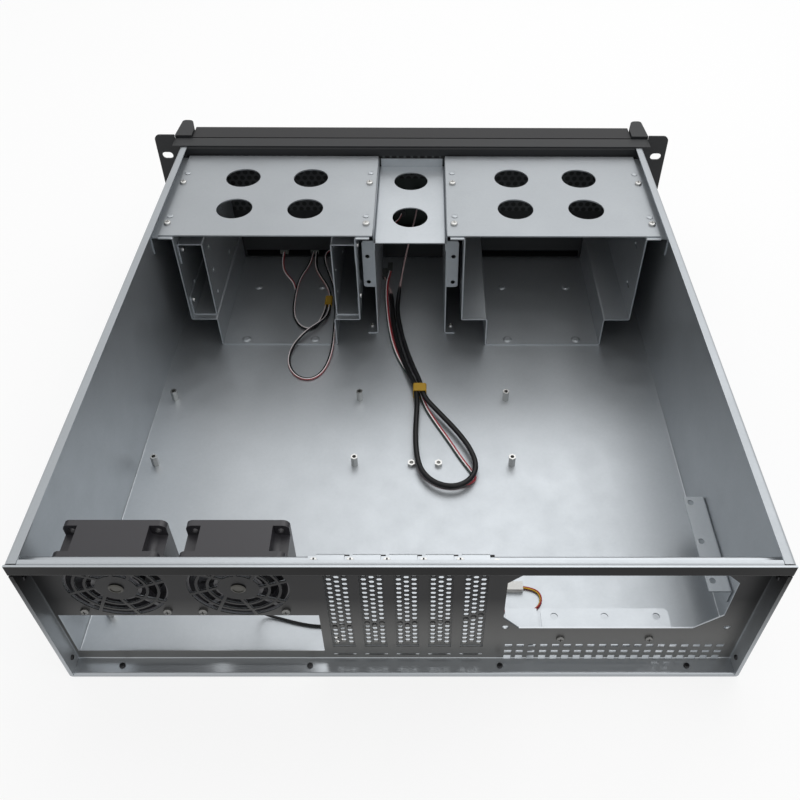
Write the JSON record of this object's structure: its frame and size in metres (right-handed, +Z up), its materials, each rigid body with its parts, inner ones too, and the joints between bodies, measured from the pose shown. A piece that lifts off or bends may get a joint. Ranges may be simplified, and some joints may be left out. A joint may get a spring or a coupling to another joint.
{
  "type": "empty rackmount server case",
  "caption": "Open-topped folded steel rack case with drive cages, rear fans, card slot covers, board mounts, front bezel and rack ears.",
  "frame": {"origin": "middle of the footprint, on the underside", "axes": "+Z up, +Y towards the rear panel, -Y towards the front, +X to the right as seen from the front"},
  "size_m": [0.4826, 0.4986, 0.131],
  "materials": {
    "galvanised_steel": "zinc-coated sheet, satin",
    "cover_steel": "darkened zinc-coated sheet, satin, bright on top",
    "rear_steel": "darkened zinc-coated sheet, satin",
    "black_paint": "fine black powder coat",
    "black_plastic": "fine-grained moulding",
    "fan_plastic": "satin moulding",
    "screw_steel": "bright zinc plate",
    "circuit_board": "solder mask",
    "switch_plastic": "moulded",
    "light_lens": "clear lens",
    "port_metal": "plated shell",
    "cable_sleeve": "satin sleeve",
    "lead_insulation": "thin insulated leads",
    "tie_tape": "soft woven tape",
    "plug_plastic": "moulded"
  },
  "bodies": {
    "case": {"adapter_channel_inner": "galvanised_steel", "adapter_channel_outer": "galvanised_steel", "bay_cover_left_lower": "black_plastic", "bay_cover_left_upper": "black_plastic", "bay_cover_right_lower": "black_plastic", "bay_cover_right_upper": "black_plastic", "board_sockets": "switch_plastic", "board_standoffs": "screw_steel", "bridge_plate": "galvanised_steel", "cage_lead_branch": "lead_insulation", "cage_lead_loop": "cable_sleeve", "cage_leads": "cable_sleeve", "cage_plugs": "plug_plastic", "cage_tie": "tie_tape", "cage_top_plate_left": "galvanised_steel", "cage_top_plate_right": "galvanised_steel", "chassis_tray": "galvanised_steel", "control_board": "circuit_board", "control_board_spacers": "switch_plastic", "drive_cage_left": "galvanised_steel", "drive_cage_right": "galvanised_steel", "fan_cable": "cable_sleeve", "fan_plug": "plug_plastic", "floor_nuts": "screw_steel", "front_bezel": "black_plastic", "front_frame": "black_paint", "front_panel": "black_paint", "front_ports": "port_metal", "handle_left": "black_paint", "handle_right": "black_paint", "harness_cable": "cable_sleeve", "harness_leads": "lead_insulation", "harness_plugs": "plug_plastic", "harness_tie": "tie_tape", "indicator_lights": "light_lens", "partition_left": "galvanised_steel", "partition_right": "galvanised_steel", "power_switch": "switch_plastic", "psu_side_bracket": "galvanised_steel", "psu_support_bracket": "galvanised_steel", "rack_ear_left": "black_paint", "rack_ear_right": "black_paint", "rear_fan_inner_frame": "fan_plastic", "rear_fan_outer_frame": "fan_plastic", "rear_panel": "rear_steel", "rear_rail": "galvanised_steel", "reset_switch": "switch_plastic", "slot_cover_1": "cover_steel", "slot_cover_2": "cover_steel", "slot_cover_3": "cover_steel", "slot_cover_4": "cover_steel", "slot_cover_5": "cover_steel", "slot_screws": "screw_steel", "wall_bracket_left": "galvanised_steel", "wall_bracket_right": "galvanised_steel"},
    "outer_fan": {"rear_fan_outer_rotor": "fan_plastic"},
    "inner_fan": {"rear_fan_inner_rotor": "fan_plastic"},
    "power_button_body": {"power_button": "black_plastic"},
    "reset_button_body": {"reset_button": "black_plastic"}
  },
  "joints": [
    {"name": "outer_fan_spin", "type": "hinge", "parent": "case", "child": "outer_fan", "pos_m": [0.1672, 0.22345, 0.0858], "axis": [0, 1, 0], "continuous": true},
    {"name": "inner_fan_spin", "type": "hinge", "parent": "case", "child": "inner_fan", "pos_m": [0.0959, 0.22345, 0.0858], "axis": [0, 1, 0], "continuous": true},
    {"name": "power_press", "type": "slide", "parent": "case", "child": "power_button_body", "axis": [0, 1, 0], "range_m": [0, 0.0015], "stiffness_N_per_m": 800, "springref_m": -0.0006},
    {"name": "reset_press", "type": "slide", "parent": "case", "child": "reset_button_body", "axis": [0, 1, 0], "range_m": [0, 0.0015], "stiffness_N_per_m": 600, "springref_m": -0.0006}
  ]
}
